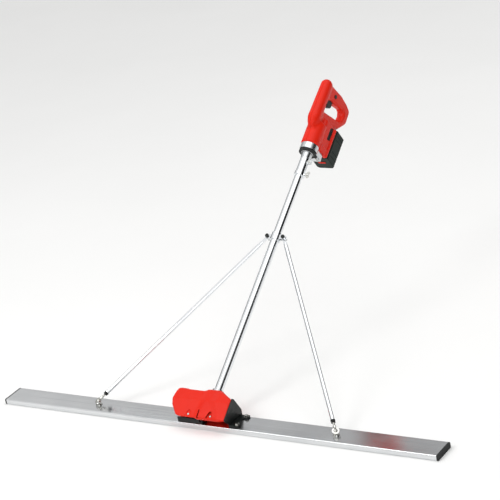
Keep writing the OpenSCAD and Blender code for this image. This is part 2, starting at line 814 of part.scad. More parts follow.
// Ring and block of the gearcase in one casting
module gearcase_body() {
    color(ALU) along_pole() translate([0, 0, body_s]) difference() {
        union() {
            cylinder(r = case_r, h = body_t);
            block([-case_w, 8, 0], [case_w, case_n - 8, body_t]);
            block([-case_w + 8, 8, 0], [case_w - 8, case_n, body_t]);
            for (x = [-1, 1])
                translate([x * (case_w - 8), case_n - 8, 0]) cylinder(r = 8, h = body_t);
            block([-case_w + 4, case_r, -6], [case_w - 4, case_n - 10, 1]);
        }
        translate([0, 0, -1]) cylinder(r = spindle_gear_r + 2, h = 3);
        translate([0, 0, -1]) cylinder(r = 4 + gap, h = 8);
        translate([0, idler_n, -1]) cylinder(r = idler_small_r + 2, h = 3);
        translate([0, idler_n, 1.5]) cylinder(r = idler_big_r + 1.5, h = 13);
        translate([0, motor_n, 1.5]) cylinder(r = motor_pinion_r + 1.5, h = 13);
        translate([0, idler_n, 1]) cylinder(r = 2 + run_clear, h = 18);
        translate([0, motor_n, 1]) cylinder(r = 4 + gap, h = 60);
        for (p = case_screws)
            translate([p[0], p[1], -7]) cylinder(r = 2.1, h = 16);
    }
}
case_screws = [[-18.5, 52], [18.5, 52], [-18.5, 40], [18.5, 40]];

module gearcase_screws() {
    color(CHROME) along_pole() for (p = case_screws)
        translate([p[0], p[1], body_s - 6]) {
            translate([0, 0, -3]) cylinder(r = 3.8, h = 3);
            cylinder(r = 2.1, h = 14);
        }
}

// Output spindle with its gear and a square socket for the drive shaft
spindle_low = pole_top + 4;
module spindle() {
    color(STEEL) along_pole() difference() {
        union() {
            translate([0, 0, spindle_low]) cylinder(r = 8, h = gasket_s - 11 - spindle_low);
            translate([0, 0, gasket_s - 12]) cylinder(r = shaft_r, h = 14);
            translate([0, 0, gasket_s + 1]) spur(spindle_gear_r - mesh, 6, 28, 0.5);
            translate([0, 0, gasket_s]) cylinder(r = 4, h = 12);
        }
        translate([-square_a / 2 - 0.2, -square_a / 2 - 0.2, spindle_low - 1])
            cube([square_a + 0.4, square_a + 0.4, shaft_tip + 2 - spindle_low]);
    }
}

module spindle_bearing() {
    color(STEEL) along_pole() translate([0, 0, gasket_s - 9.5])
        bearing(input_r, shaft_r + run_clear, input_w);
}

module idler_gear() {
    color(STEEL) along_pole() translate([0, idler_n, 0]) {
        translate([0, 0, gasket_s - 2]) cylinder(r = 2, h = 25);
        translate([0, 0, gasket_s + 1]) spur(idler_small_r - mesh, 6.6, 16, 1.9);
        translate([0, 0, body_s + 2.5]) spur(idler_big_r - mesh, 8, 36, 1.9);
    }
}

// ---- motor ----------------------------------------------------------------

stator_s = shell_s + 22;
stator_l = 52;
stator_r = 24;
rotor_r = 13.5;
fan_s = stator_s + stator_l + 10;
module motor_stator() {
    color("#7b5a3a") along_pole() translate([0, motor_n, stator_s]) {
        ring(stator_r, rotor_r + 0.5, stator_l);
        for (z = [-6, stator_l]) translate([0, 0, z]) ring(stator_r - 4, rotor_r + 2, 6);
    }
}

module motor_rotor() {
    color(STEEL) along_pole() translate([0, motor_n, 0]) {
        translate([0, 0, body_s + 2]) cylinder(r = 4, h = fan_s + 14 - body_s);
        translate([0, 0, stator_s - 1]) cylinder(r = rotor_r, h = stator_l + 2);
        translate([0, 0, body_s + 2.5]) spur(motor_pinion_r - mesh, 8, 16, 3.9);
    }
}

module motor_fan() {
    color(BLACK) along_pole() translate([0, motor_n, fan_s]) difference() {
        union() {
            cylinder(r = 22, h = 2);
            cylinder(r = 8, h = 9);
            for (a = [0:30:330]) rotate([0, 0, a]) translate([7, -0.8, 0]) cube([14.5, 1.6, 8]);
        }
        translate([0, 0, -1]) cylinder(r = 4, h = 20);
    }
}

// ---- shells of the power head ---------------------------------------------

column_n = -40;
column_r = 23;
column_top = 1444;
head_base = 1130;
lift = sleeve_top - head_base;
barrel_n = -3;
battery_n = 80;
shoe_w = 36;
rear_half_w = 31;
// D-handle outline and its finger opening, [away from the upper face, up the pole]
handle_outline = [[-42, 1330], [-42, 1455], [-20, 1457], [10, 1460], [60, 1466], [110, 1463], [143, 1453],
    [150, 1444], [152, 1396], [146, 1386], [112, 1342], [battery_n, 1322], [20, 1316]];
finger_opening = [[-16, 1340], [-18, 1366], [-8, 1396], [6, 1404], [50, 1411], [96, 1424], [110, 1420],
    [116, 1408], [112, 1386], [98, 1372], [60, 1362], [20, 1350]];
trigger_outline = [[-9, 1383], [-4, 1398], [-4, 1412], [22, 1412], [27, 1402], [29, 1390], [23, 1380],
    [9, 1377]];
trigger_half_w = 8;
button_n = 19;
button_s = 1431;
button_r = 7;

module head_outer() {
    translate([0, 0, lift]) {
        translate([0, barrel_n, shell_s - lift]) cylinder(r = barrel_r, h = 100);
        translate([0, barrel_n, shell_s - lift + 100]) cylinder(r1 = barrel_r, r2 = column_r - 2, h = 22);
        translate([0, column_n, 1288]) cylinder(r = column_r, h = column_top - 1288);
        translate([0, column_n + 8, 1262]) cylinder(r1 = 10, r2 = column_r, h = 26);
        translate([0, column_n, column_top]) sphere(r = column_r);
        block([-rear_half_w, 8, shell_s - lift], [rear_half_w, battery_n, 1318]);
        block([-shoe_w, battery_n - 9, shell_s - lift + 2], [shoe_w, battery_n, 1316]);
        prism_x(handle_outline, -grip_half_w, grip_half_w);
    }
}

// Everything the moulded head leaves room for
module head_hollows() {
    translate([0, 0, lift]) {
        prism_x(finger_opening, -60, 60);
        prism_x([[-13, 1371], [-8, 1399], [-14, 1399], [-14, 1436], [62, 1440], [62, 1418], [34, 1416],
            [34, 1400], [28, 1366]], -trigger_half_w - gap, trigger_half_w + gap);
        for (x = [-rear_half_w - 2, rear_half_w - 9])
            block([x, 44, 1252], [x + 11, 66, 1312]);
        translate([0, button_n, button_s]) along_x() cylinder(r = button_r + gap, h = 40);
    }
    translate([0, barrel_n, shell_s - 1]) cylinder(r = barrel_r - 3, h = 92);
    translate([0, column_n, lift + 1296]) cylinder(r = column_r - 3, h = 140);
    translate([0, motor_n, shell_s - 1]) cylinder(r = stator_r + 0.5, h = fan_s + 18 - shell_s);
    block([-tongue_w - gap, battery_n - tongue_h - gap, shell_s - 1],
        [tongue_w + gap, battery_n + 1, lift + 1312]);
    for (p = head_screw_places)
        translate([-60, p[0], p[1] + lift]) along_x() cylinder(r = 2.1, h = 120);
}
tongue_w = 20;
tongue_h = 7;
head_screw_places = [[136, 1440], [134, 1398], [-52, 1330], [74, 1330], [66, 1437]];

module head_shell(side) {
    color(RED) along_pole() intersection() {
        difference() {
            head_outer();
            head_hollows();
        }
        block([side > 0 ? 0.05 : -90, -120, 1000], [side > 0 ? 90 : -0.05, 220, 1700]);
    }
}
module head_shell_left() { head_shell(-1); }
module head_shell_right() { head_shell(1); }

module head_screws() {
    color(STEEL) along_pole() translate([0, 0, lift]) for (p = head_screw_places)
        translate([0, p[0], p[1]]) along_x() translate([0, 0, -grip_half_w + 4])
            cylinder(r = 2.1, h = 2 * grip_half_w - 6);
}

// Slatted grilles in the two side windows
grille_xs = [1.5 - rear_half_w, rear_half_w - 3.5];
module vent_grilles() {
    color(BLACK) along_pole() translate([0, 0, lift]) for (x = grille_xs) difference() {
        block([x, 44, 1252], [x + 2, 66, 1312]);
        for (s = [1256:7:1305]) block([x - 1, 47, s], [x + 3, 63, s + 4]);
    }
}

// ---- controls -------------------------------------------------------------

module trigger() {
    color(BLACK) along_pole() translate([0, 0, lift]) difference() {
        prism_x(trigger_outline, -trigger_half_w, trigger_half_w);
        translate([0, 9, 1396]) cylinder(r = 3.4, h = 30);
    }
}

// Return spring, drawn as the sleeve that its coils fill
module trigger_spring() {
    color(STEEL) along_pole() translate([0, 9, lift + 1397 + trigger_travel])
        ring(3, 1.8, 24.5 - trigger_travel);
}

module switch_body() {
    color("#3a3d3f") along_pole() translate([0, 0, lift])
        block([-7.5, -12, 1421.5], [7.5, 60, 1434]);
}

button_x = 12;
module lock_button() {
    color(BLACK) along_pole() translate([button_x, button_n, lift + button_s]) along_x()
        cylinder(r = button_r, h = grip_half_w + 2.5 - button_x);
}

module control_board() {
    s0 = shell_s + 14;
    color("#1f5a36") along_pole() {
        block([-25.5, -24, s0], [25.5, -22, s0 + 62]);
        for (x = [-10, 10]) translate([x, -22, s0 + 14]) along_y() cylinder(r = 6, h = 14);
        block([-14, -22, s0 + 30], [14, -18, s0 + 52]);
    }
}

// ---- battery --------------------------------------------------------------

battery_h = 72;
battery_s = lift + 1318 - battery_l;
latch_n = 112;
latch_w = 15;
module battery_solid(shrink) {
    n0 = battery_n + gap + shrink;
    n1 = battery_n + battery_h - shrink;
    half = battery_w / 2 - shrink;
    chamfer = 9;
    translate([0, 0, battery_s + shrink]) linear_extrude(height = battery_l - 2 * shrink)
        polygon([[-half + 4, n0], [half - 4, n0], [half, n0 + 6], [half, n1 - chamfer], [half - chamfer, n1],
            [-half + chamfer, n1], [-half, n1 - chamfer], [-half, n0 + 6]]);
}

module battery_case() {
    color("#26302b") along_pole() difference() {
        union() {
            battery_solid(0);
            block([-tongue_w, battery_n - tongue_h, battery_s + 4], [tongue_w, battery_n + 2, lift + 1308]);
        }
        battery_solid(2.5);
        translate([0, 0, battery_s - 1])
            block([-latch_w - gap, latch_n - 4 - gap, 0], [latch_w + gap, latch_n + 4 + gap, 8]);
    }
}

cell_r = 9.2;
module battery_cells() {
    color("#3f6fb0") along_pole() for (i = [0:4]) for (j = [0:2])
        translate([-32.5, battery_n + gap + 14 + j * 20, battery_s + 24 + i * 20])
            along_x() cylinder(r = cell_r, h = 65);
}

module battery_latch() {
    color(RED) along_pole() translate([0, 0, battery_s - 1.5])
        block([-latch_w, latch_n - 4, 0], [latch_w, latch_n + 4, 8]);
}

blade_board();
blade_plug_left();
blade_plug_right();
right_bracket();
left_bracket();
bracket_bolts();
bracket_screws();
exciter_casting();
exciter_end_cap();
exciter_bearings();
exciter_shaft();
weight_left();
weight_right();
driven_bevel();
pinion_bevel();
input_bearing();
cover_front();
cover_rear();
cover_screws();
pole_tube();
shaft_bushes();
drive_shaft();
strut_collar_front();
strut_collar_rear();
collar_bolts();
strut_tab_left();
strut_tab_right();
strut_tube_left();
strut_tube_right();
strut_rod_left();
strut_rod_right();
lock_nuts();
foot_ball_left();
foot_ball_right();
foot_bolts();
pole_sleeve();
sleeve_ring();
thumb_screw();
sleeve_bolt();
gearcase_nose();
gearcase_gasket();
gearcase_body();
gearcase_screws();
spindle();
spindle_bearing();
idler_gear();
motor_stator();
motor_rotor();
motor_fan();
head_shell_left();
head_shell_right();
head_screws();
vent_grilles();
trigger();
trigger_spring();
switch_body();
lock_button();
control_board();
battery_case();
battery_cells();
battery_latch();
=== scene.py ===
import json
import math

import bpy
import numpy as np
from mathutils import Matrix, Vector


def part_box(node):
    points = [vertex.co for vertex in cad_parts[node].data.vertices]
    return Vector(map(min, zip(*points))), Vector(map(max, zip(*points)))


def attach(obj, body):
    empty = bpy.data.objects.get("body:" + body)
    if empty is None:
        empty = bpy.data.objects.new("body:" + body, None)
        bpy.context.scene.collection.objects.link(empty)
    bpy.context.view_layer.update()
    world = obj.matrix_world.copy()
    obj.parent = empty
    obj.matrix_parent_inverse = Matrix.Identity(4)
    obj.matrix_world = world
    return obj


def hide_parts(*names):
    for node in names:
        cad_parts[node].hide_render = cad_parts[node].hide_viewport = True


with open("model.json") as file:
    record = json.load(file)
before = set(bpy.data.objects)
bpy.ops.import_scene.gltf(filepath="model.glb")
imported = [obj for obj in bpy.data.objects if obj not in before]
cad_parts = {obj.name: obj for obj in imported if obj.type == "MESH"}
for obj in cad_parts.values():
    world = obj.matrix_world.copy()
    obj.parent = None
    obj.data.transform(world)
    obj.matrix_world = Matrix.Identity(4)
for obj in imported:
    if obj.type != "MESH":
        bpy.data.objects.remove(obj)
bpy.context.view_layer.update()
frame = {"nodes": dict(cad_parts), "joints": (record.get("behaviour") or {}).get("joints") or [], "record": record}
mm = 0.001
joints = {joint["name"]: joint for joint in frame["joints"]}

# Most of the machine is drawn in its pole's own directions, in millimetres: x runs along the blade,
# n stands square to the pole, down and back, and s climbs the pole from the blade's top.
poleUp = Vector(joints["head_pull_off"]["axis"]).normalized()
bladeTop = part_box("blade_board")[1].z
onPole = Vector(joints["spindle_spin"]["pos_m"])
poleFoot = onPole - poleUp * ((onPole.z - bladeTop) / poleUp.z)
poleBack = Vector((0, poleUp.z, -poleUp.y))
lean = math.atan2(poleUp.y, poleUp.z)
toPole = np.array([(1, 0, 0), poleBack, poleUp])


def inPole(points):
    # metres in the frame to millimetres along x, n and s
    return (np.asarray(points) - np.array(poleFoot)) @ toPole.T / mm


def fromPole(points):
    # millimetres along x, n and s to metres in the frame
    return np.asarray(points) * mm @ toPole + np.array(poleFoot)


def poleBox(node):
    # the lowest and highest x, n and s of a CAD part
    mesh = frame["nodes"][node].data
    flat = np.zeros(len(mesh.vertices) * 3, np.float32)
    mesh.vertices.foreach_get("co", flat)
    turned = inPole(flat.reshape(-1, 3))
    return turned.min(0), turned.max(0)


view = {"azimuth": 35.26, "elevation": 21.88, "roll": 10.7, "distance": 6.7865,
        "aim": (0.0936, 0.2857, 0.5579), "lens": 138.4, "sensor": 36, "clip": (0.05, 200)}


def placeCamera():
    # looks at the aim from the given side and height, rolled about its own line of sight
    turn, rise, roll = (math.radians(view[k]) for k in ("azimuth", "elevation", "roll"))
    right = Vector((math.cos(turn), math.sin(turn), 0))
    level = Vector((-math.sin(turn), math.cos(turn), 0))
    forward = level * math.cos(rise) - Vector((0, 0, math.sin(rise)))
    up = right.cross(forward)
    rolledRight = right * math.cos(roll) - up * math.sin(roll)
    rolledUp = right * math.sin(roll) + up * math.cos(roll)
    data = bpy.data.cameras.new("camera")
    data.lens = view["lens"]
    data.sensor_width = view["sensor"]
    data.clip_start, data.clip_end = view["clip"]
    camera = bpy.data.objects.new("camera", data)
    turned = Matrix((rolledRight, rolledUp, -forward)).transposed().to_4x4()
    camera.matrix_world = Matrix.Translation(Vector(view["aim"]) - forward * view["distance"]) @ turned
    bpy.context.scene.collection.objects.link(camera)
    bpy.context.scene.camera = camera


placeCamera()
print("camera placed")


def linear(hexColour):
    # sRGB hex to the linear colour that Blender mixes in
    parts = [int(hexColour[i:i + 2], 16) / 255 for i in (1, 3, 5)]
    return (*[c / 12.92 if c <= 0.04045 else ((c + 0.055) / 1.055) ** 2.4 for c in parts], 1)


def addNode(tree, kind, settings=None, links=None):
    # adds a node, sets its options or unlinked sockets by name, and links sockets to the outputs given
    node = tree.nodes.new(kind)
    for key, value in (settings or {}).items():
        if hasattr(node, key):
            setattr(node, key, value)
        else:
            node.inputs[key].default_value = value
    for key, source in (links or {}).items():
        tree.links.new(source, node.inputs[key])
    return node


def startMaterial(name, settings):
    # a new material with its shader and the piece's own coordinates in millimetres
    material = bpy.data.materials.new(name)
    material.use_nodes = True
    tree = material.node_tree
    tree.nodes.clear()
    shader = addNode(tree, "ShaderNodeBsdfPrincipled", settings)
    addNode(tree, "ShaderNodeOutputMaterial", links={"Surface": shader.outputs[0]})
    place = addNode(tree, "ShaderNodeTexCoord")
    scaled = addNode(tree, "ShaderNodeMapping", {"Scale": (1 / mm, 1 / mm, 1 / mm)},
                     {"Vector": place.outputs["Object"]})
    return material, tree, shader, scaled.outputs[0]


def noiseOf(tree, place, size, detail, stretch=None):
    # cloudy values from 0 to 1 whose blotches are about `size` millimetres across
    if stretch is not None:
        place = addNode(tree, "ShaderNodeMapping", stretch, {"Vector": place}).outputs[0]
    return addNode(tree, "ShaderNodeTexNoise", {"Scale": 1 / size, "Detail": detail},
                   {"Vector": place}).outputs[0]


def rangeOf(tree, value, source, target):
    # the source range carried to the target range, and held at its ends
    return addNode(tree, "ShaderNodeMapRange", {"From Min": source[0], "From Max": source[1],
                                                "To Min": target[0], "To Max": target[1]},
                   {"Value": value}).outputs[0]


def mathOf(tree, operation, first, second):
    # two outputs added or multiplied
    return addNode(tree, "ShaderNodeMath", {"operation": operation}, {0: first, 1: second}).outputs[0]


def mixOf(tree, share, first, second):
    # a colour between two, each a hex value or an output
    node = addNode(tree, "ShaderNodeMix", {"data_type": "RGBA"})
    for socket, value in ((node.inputs[6], first), (node.inputs[7], second)):
        if isinstance(value, str):
            socket.default_value = linear(value)
        else:
            tree.links.new(value, socket)
    tree.links.new(share, node.inputs[0])
    return node.outputs[2]


def bumpOf(tree, height, depth):
    # height from 0 to 1 raised by `depth` millimetres
    return addNode(tree, "ShaderNodeBump", {"Strength": 1.0, "Distance": depth * mm},
                   {"Height": height}).outputs[0]


def dress(tree, shader, colour, roughness, normal):
    # gives the shader its three patterns
    for socket, source in (("Base Color", colour), ("Roughness", roughness), ("Normal", normal)):
        tree.links.new(source, shader.inputs[socket])


middling = (0.3, 0.7)  # the part of a noise's 0 to 1 that most of its values fall in


# Every size below is in millimetres. Grains and brush lines that are finer on the real piece are drawn
# 0.5 to 1.2 mm wide, for closer views.

def redAbs():
    # injection-moulded ABS: a strong orange red, satin from spark-eroded tooling, with dull scuffs
    gloss = {"IOR": 1.53, "Specular IOR Level": 0.15}
    material, tree, shader, place = startMaterial("moulded_red_abs", gloss)
    cloud = noiseOf(tree, place, size=60, detail=3)
    scuff = noiseOf(tree, place, size=9, detail=5,
                    stretch={"Rotation": (0.5, 0.2, 0.9), "Scale": (1, 0.25, 1)})
    scuffed = rangeOf(tree, scuff, (0.62, 0.78), (0, 0.16))
    colour = mixOf(tree, scuffed, mixOf(tree, cloud, "#d8200f", "#e32b18"), "#de5848")
    rough = mathOf(tree, "ADD", rangeOf(tree, cloud, middling, (0.3, 0.38)), scuffed)
    grain = noiseOf(tree, place, size=0.7, detail=2)
    dress(tree, shader, colour, rough, bumpOf(tree, grain, depth=0.035))
    return material


def brushedAluminium():
    # extruded aluminium, linished along its length: nearly mirror bright, with fine long scratches
    gloss = {"Metallic": 1.0, "Anisotropic": 0.35}
    material, tree, shader, place = startMaterial("linished_aluminium", gloss)
    cloud = noiseOf(tree, place, size=160, detail=3)
    lines = noiseOf(tree, place, size=0.9, detail=3, stretch={"Scale": (0.004, 1, 1)})
    longMarks = noiseOf(tree, place, size=5, detail=4, stretch={"Scale": (0.01, 1, 1)})
    colour = mixOf(tree, rangeOf(tree, longMarks, (0.45, 0.75), (0, 0.35)),
                   mixOf(tree, cloud, "#d2d4d6", "#e4e5e6"), "#b4b7ba")
    rough = mathOf(tree, "ADD", rangeOf(tree, cloud, middling, (0.12, 0.18)),
                   rangeOf(tree, lines, (0.3, 0.8), (0, 0.08)))
    dress(tree, shader, colour, rough, bumpOf(tree, lines, depth=0.004))
    return material


def chromedTube():
    # hard chrome on polished tube: mirror bright, with a faint haze of wiping marks along the pole
    material, tree, shader, place = startMaterial("polished_chrome", {"Metallic": 1.0})
    haze = noiseOf(tree, place, size=45, detail=3)
    marks = noiseOf(tree, place, size=1.2, detail=3,
                    stretch={"Rotation": (lean, 0, 0), "Scale": (1, 1, 0.05)})
    rough = mathOf(tree, "ADD", rangeOf(tree, haze, middling, (0.05, 0.1)),
                   rangeOf(tree, marks, (0.5, 0.9), (0, 0.06)))
    dress(tree, shader, mixOf(tree, haze, "#e2e5e8", "#f0f2f3"), rough, bumpOf(tree, marks, depth=0.0015))
    return material


def platedSteel():
    # zinc-plated turned steel: cool grey with a slight straw tint in patches, soft highlights
    material, tree, shader, place = startMaterial("zinc_plated_steel", {"Metallic": 1.0})
    patch = noiseOf(tree, place, size=7, detail=3)
    fine = noiseOf(tree, place, size=0.5, detail=2)
    dress(tree, shader, mixOf(tree, patch, "#c3c6c8", "#d4d1c6"),
          rangeOf(tree, patch, middling, (0.2, 0.32)), bumpOf(tree, fine, depth=0.01))
    return material


def gearSteel():
    # ground and oiled steel: darker grey, smeared with a film of oil
    material, tree, shader, place = startMaterial("ground_steel", {"Metallic": 1.0})
    film = noiseOf(tree, place, size=12, detail=3)
    grind = noiseOf(tree, place, size=0.8, detail=2)
    dress(tree, shader, mixOf(tree, film, "#85888b", "#a3a5a6"),
          rangeOf(tree, film, middling, (0.18, 0.36)), bumpOf(tree, grind, depth=0.01))
    return material


def castAlloy():
    # bead-blasted aluminium die casting: pale grey with a softly pitted skin
    material, tree, shader, place = startMaterial("blasted_cast_aluminium", {"Metallic": 1.0})
    cloud = noiseOf(tree, place, size=22, detail=3)
    pits = noiseOf(tree, place, size=1.1, detail=3)
    dress(tree, shader, mixOf(tree, cloud, "#c6c9cb", "#dcdee0"),
          rangeOf(tree, cloud, middling, (0.2, 0.3)), bumpOf(tree, pits, depth=0.03))
    return material


def powderCoat():
    # black polyester powder coat on steel: orange-peel skin, rubbed grey in places
    gloss = {"IOR": 1.5, "Specular IOR Level": 0.3}
    material, tree, shader, place = startMaterial("black_powder_coat", gloss)
    rub = noiseOf(tree, place, size=14, detail=5)
    peel = noiseOf(tree, place, size=1.6, detail=2)
    dress(tree, shader, mixOf(tree, rangeOf(tree, rub, (0.55, 0.8), (0, 0.5)), "#101413", "#3a403e"),
          rangeOf(tree, rub, (0.3, 0.8), (0.3, 0.5)), bumpOf(tree, peel, depth=0.05))
    return material


def blackRubber():
    # moulded rubber: matte near black with a dusty bloom
    gloss = {"IOR": 1.52, "Specular IOR Level": 0.35}
    material, tree, shader, place = startMaterial("moulded_rubber", gloss)
    bloom = noiseOf(tree, place, size=11, detail=4)
    grain = noiseOf(tree, place, size=0.8, detail=3)
    dress(tree, shader, mixOf(tree, bloom, "#131414", "#2b2d2d"),
          rangeOf(tree, bloom, middling, (0.6, 0.8)), bumpOf(tree, grain, depth=0.04))
    return material


def blackNylon():
    # glass-filled nylon: black with an eroded grain, and slightly shiny where it is worn
    gloss = {"IOR": 1.53, "Specular IOR Level": 0.25}
    material, tree, shader, place = startMaterial("glass_filled_nylon", gloss)
    worn = noiseOf(tree, place, size=6, detail=4)
    grain = noiseOf(tree, place, size=0.6, detail=2)
    dress(tree, shader, mixOf(tree, worn, "#151918", "#262c2a"),
          rangeOf(tree, worn, middling, (0.38, 0.52)), bumpOf(tree, grain, depth=0.04))
    return material


def batteryAbs():
    # textured ABS and polycarbonate blend: a greenish black with a leather-like grain of 0.9 mm cells
    gloss = {"IOR": 1.55, "Specular IOR Level": 0.15}
    material, tree, shader, place = startMaterial("textured_pc_abs", gloss)
    cloud = noiseOf(tree, place, size=30, detail=4)
    cell = addNode(tree, "ShaderNodeTexVoronoi", {"Scale": 1 / 0.9}, {"Vector": place}).outputs[0]
    dress(tree, shader, mixOf(tree, cloud, "#0f1814", "#1c2a24"),
          rangeOf(tree, cloud, middling, (0.4, 0.52)), bumpOf(tree, cell, depth=0.05))
    return material


def plainInside(name, dark, light, rough, metallic=0.0, grain=2.0, depth=0.03):
    # a hidden piece's finish: two close tones, varied roughness and a fine grain
    material, tree, shader, place = startMaterial(name, {"Metallic": metallic})
    cloud = noiseOf(tree, place, size=9, detail=3)
    dress(tree, shader, mixOf(tree, cloud, dark, light),
          rangeOf(tree, cloud, middling, (rough - 0.06, rough + 0.06)),
          bumpOf(tree, noiseOf(tree, place, size=grain, detail=2), depth))
    return material


finishes = {
    "blade_alloy": brushedAluminium(),
    "black_rubber": blackRubber(),
    "black_steel": powderCoat(),
    "bright_steel": platedSteel(),
    "gear_steel": gearSteel(),
    "chrome_tube": chromedTube(),
    "cast_alloy": castAlloy(),
    "red_plastic": redAbs(),
    "black_plastic": blackNylon(),
    "battery_plastic": batteryAbs(),
    # turned acetal bushes, enamelled copper wire, printed film on steel cans, green solder lacquer
    "nylon": plainInside("machined_acetal", "#dcd9cc", "#eceadf", rough=0.4),
    "copper_stator": plainInside("lacquered_winding", "#6d3d1c", "#9a5d2c", rough=0.35, metallic=0.6,
                                 grain=1.0, depth=0.2),
    "cell_can": plainInside("shrink_wrapped_cell", "#2b5d9c", "#3c76b8", rough=0.35),
    "board": plainInside("circuit_lacquer", "#12462a", "#1c5f3b", rough=0.3),
}
for part in frame["record"]["subparts"]:
    node = frame["nodes"][part["node"]]
    node.data.materials.clear()
    node.data.materials.append(finishes[part["material_slot"]])
print("materials made")


# A field holds, for each point of a grid, about how far the point lies outside a shape, with a minus inside.

def polygonDistance(a, b, outline):
    # in a plane: the distance to the nearest side, with a minus where a ray from the point crosses the
    # sides an odd number of times
    distance = np.full(np.broadcast(a, b).shape, np.inf)
    sign = np.ones(distance.shape)
    for (a0, b0), (a1, b1) in zip(outline, outline[1:] + outline[:1]):
        sideA, sideB, pa, pb = a1 - a0, b1 - b0, a - a0, b - b0
        along = np.clip((pa * sideA + pb * sideB) / (sideA ** 2 + sideB ** 2), 0, 1)
        distance = np.minimum(distance, np.hypot(pa - sideA * along, pb - sideB * along))
        above, below, left = b >= b0, b < b1, sideA * pb > sideB * pa
        sign = np.where((above & below & left) | ~(above | below | left), -sign, sign)
    return distance * sign


def meet(first, second, radius):
    # where two fields overlap, with the edge between them rounded to a radius
    a, b = first + radius, second + radius
    return np.minimum(np.maximum(a, b), 0) + np.hypot(np.maximum(a, 0), np.maximum(b, 0)) - radius


def join(first, second, fillet):
    # both fields together, with a smooth fillet where they run into each other
    share = np.clip(0.5 + 0.5 * (second - first) / fillet, 0, 1)
    return second + (first - second) * share - fillet * share * (1 - share)


def cut(field, tool, fillet=0.8):
    # the field with the tool taken out of it
    return -join(-field, tool, fillet)


def span(value, low, high):
    # distance from the layer between two planes
    return np.abs(value - (low + high) / 2) - (high - low) / 2


def boxField(x, n, s, low, high, radius):
    # a box between two corners: its three layers met, with their edges rounded
    sides = meet(span(x, low[0], high[0]), span(n, low[1], high[1]), radius)
    return meet(sides, span(s, low[2], high[2]), radius)


def blur(flat, passes):
    # softens a plane field's corners by averaging each value with its four neighbours
    for _ in range(passes):
        padded = np.pad(flat, 1, mode="edge")
        flat = (padded[:-2, 1:-1] + padded[2:, 1:-1] + padded[1:-1, :-2] + padded[1:-1, 2:] + 2 * flat) / 6
    return flat


def gridOf(low, high, step):
    # three arrays of coordinates that broadcast to a grid
    axes = [np.arange(start, end + step, step) for start, end in zip(low, high)]
    return axes[0][:, None, None], axes[1][None, :, None], axes[2][None, None, :]


def skinOf(field, low, step):
    # the surface where the field is 0: each grid cell that it passes through gets one point, the mean of
    # where it crosses the cell's edges, and each grid edge that it crosses gets one face
    cells = tuple(k - 1 for k in field.shape)
    total = np.zeros((*cells, 3), np.float32)
    count = np.zeros(cells, np.float32)
    ends = (slice(0, -1), slice(1, None))
    for axis in range(3):
        others = [k for k in range(3) if k != axis]
        for i in (0, 1):
            for j in (0, 1):
                index = [None, None, None]
                index[others[0]], index[others[1]] = ends[i], ends[j]
                index[axis] = ends[0]
                start = field[tuple(index)]
                index[axis] = ends[1]
                end = field[tuple(index)]
                crossed = (start < 0) != (end < 0)
                total[..., axis] += np.where(crossed, start / np.where(crossed, start - end, 1), 0)
                total[..., others[0]] += crossed * i
                total[..., others[1]] += crossed * j
                count += crossed
    active = count > 0
    number = np.full(cells, -1, np.int64)
    number[active] = np.arange(active.sum())
    points = np.array(low) + step * (np.argwhere(active) + total[active] / count[active][:, None])
    faces = []
    for axis in range(3):
        a, b = (axis + 1) % 3, (axis + 2) % 3
        index = [slice(1, -1)] * 3
        index[axis] = ends[0]
        start = field[tuple(index)]
        index[axis] = ends[1]
        end = field[tuple(index)]
        ring = []
        for stepA, stepB in ((0, 0), (1, 0), (1, 1), (0, 1)):
            index = [slice(None)] * 3
            index[a] = slice(stepA, cells[a] - 1 + stepA)
            index[b] = slice(stepB, cells[b] - 1 + stepB)
            ring.append(number[tuple(index)])
        quads = np.stack(ring, -1)
        faces.append(quads[(start < 0) & (end >= 0)])
        faces.append(quads[(start >= 0) & (end < 0)][:, ::-1])
    return points, np.concatenate(faces)


def makePiece(name, points, faces, body, slotName, replaced=(), smooth=True):
    # a mesh in the frame's metres, riding on a body and standing in for the CAD parts it replaces
    mesh = bpy.data.meshes.new(name)
    mesh.from_pydata(np.asarray(points).tolist(), [], np.asarray(faces).tolist())
    mesh.update()
    mesh.polygons.foreach_set("use_smooth", np.full(len(mesh.polygons), smooth))
    mesh.materials.append(finishes[slotName])
    piece = bpy.data.objects.new(name, mesh)
    bpy.context.scene.collection.objects.link(piece)
    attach(piece, body)
    if replaced:
        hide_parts(*replaced)


